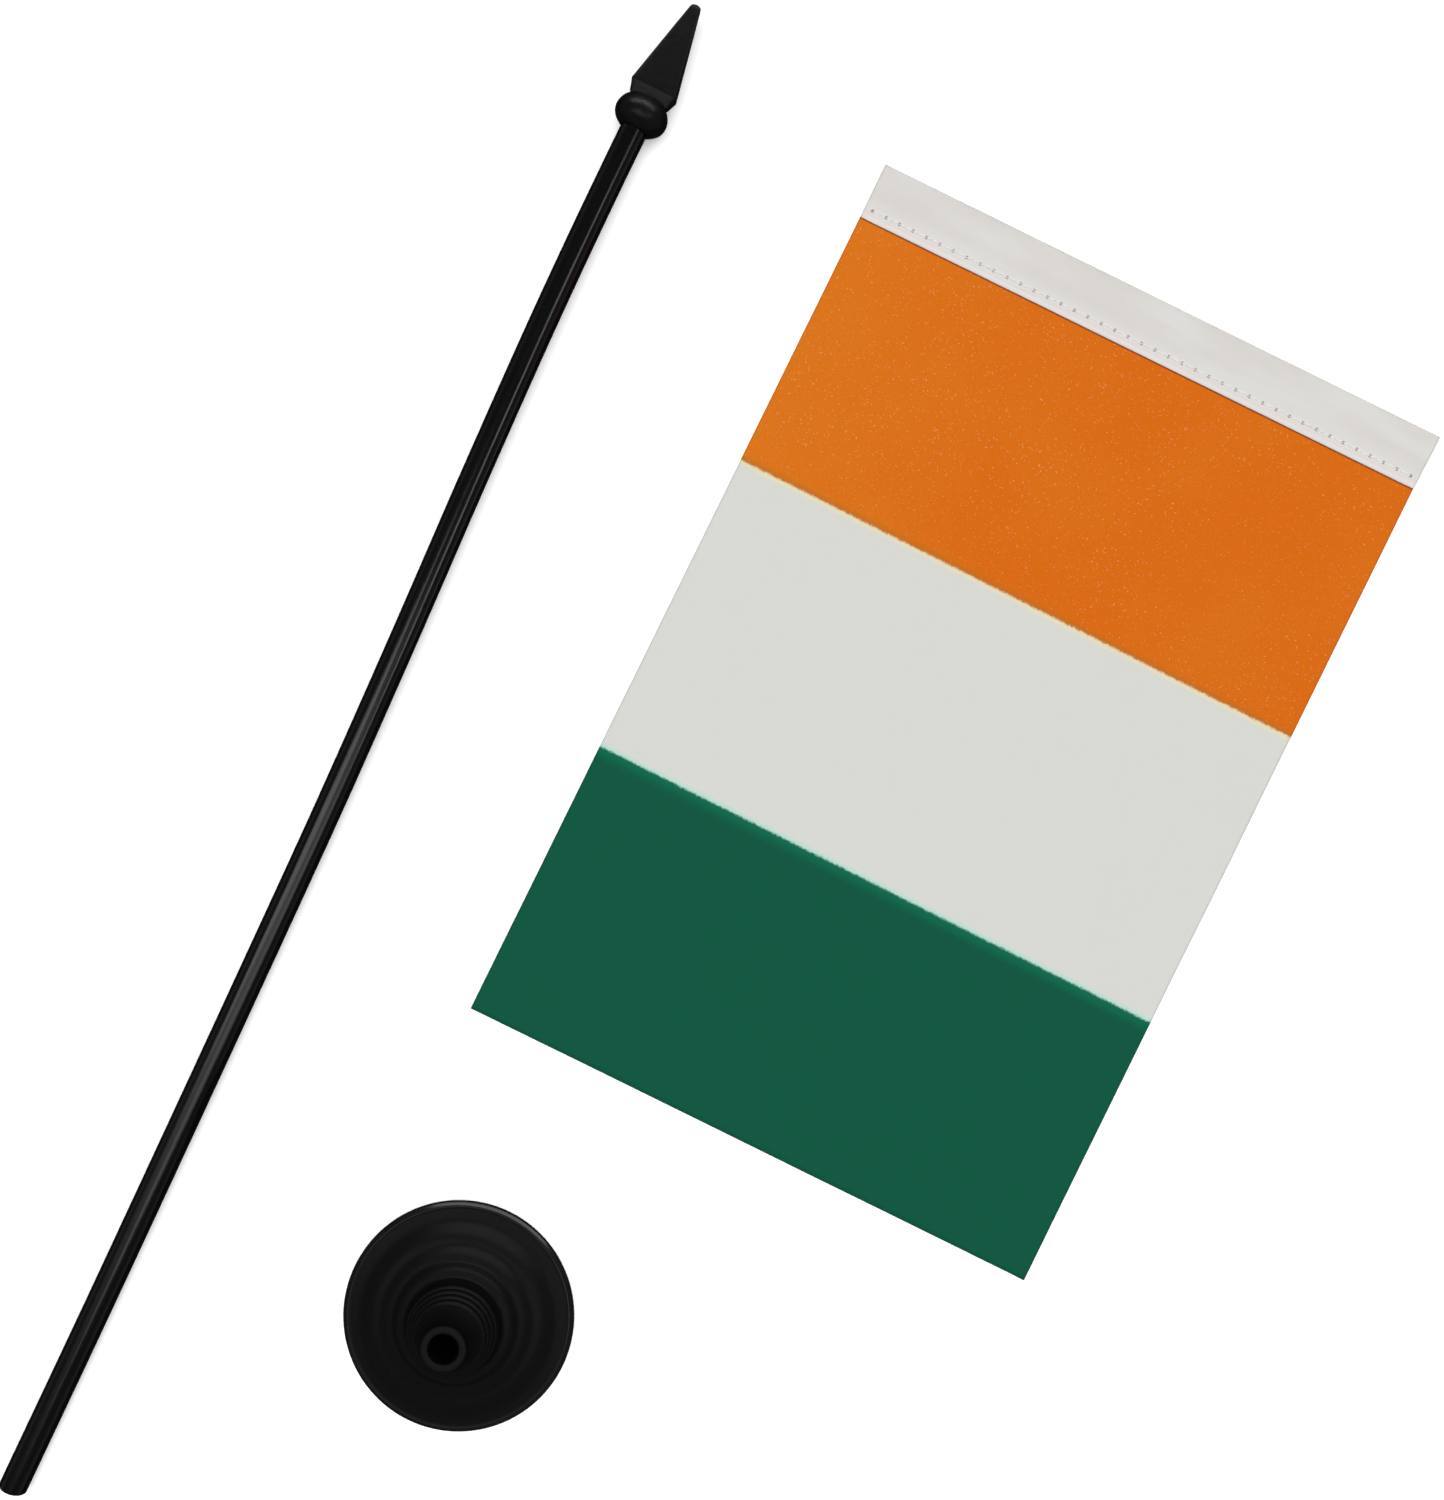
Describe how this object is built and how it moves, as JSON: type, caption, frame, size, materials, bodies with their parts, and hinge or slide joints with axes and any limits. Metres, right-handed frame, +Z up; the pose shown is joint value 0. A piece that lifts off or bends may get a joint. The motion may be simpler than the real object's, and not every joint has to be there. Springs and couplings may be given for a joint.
{
  "type": "desk flag stand",
  "caption": "Desk flag stand laid out in pieces: stepped round base with a pole socket, round pole with a spear finial, and a striped flag with a sewn sleeve.",
  "frame": {"origin": "middle of the base's underside, on the table", "axes": "+Z up, out of the socket's mouth; +X to the right and +Y away from the viewer as the set lies on the table, with the flag towards +X +Y and the pole's foot towards -X -Y"},
  "size_m": [0.3257, 0.3357, 0.025],
  "materials": {
    "base_black": "black moulded plastic with a soft satin sheen",
    "pole_black": "black plastic with a narrow bright highlight",
    "finial_black": "black moulded plastic, a little duller than the pole",
    "flag_polyester": "thin woven polyester with plain printed bands, orange, white and green, and a white sleeve",
    "sewing_thread": "pale polyester sewing thread"
  },
  "bodies": {
    "base": {"base": "base_black"},
    "pole": {"pole": "pole_black", "finial": "finial_black"},
    "flag": {"flag": "flag_polyester", "needle_thread": "sewing_thread", "bobbin_thread": "sewing_thread"}
  },
  "joints": [
    {"name": "pole_raise", "type": "hinge", "parent": "base", "child": "pole", "pos_m": [-0.1005, -0.03855, 0], "axis": [0.9086, -0.4177, 0], "range_deg": [0, 89.49]},
    {"name": "flag_turn", "type": "hinge", "parent": "base", "child": "flag", "pos_m": [0.15938, 0.22968, 0.00077], "axis": [-0.8973, 0.4415, 0], "range_deg": [0, 180]}
  ]
}
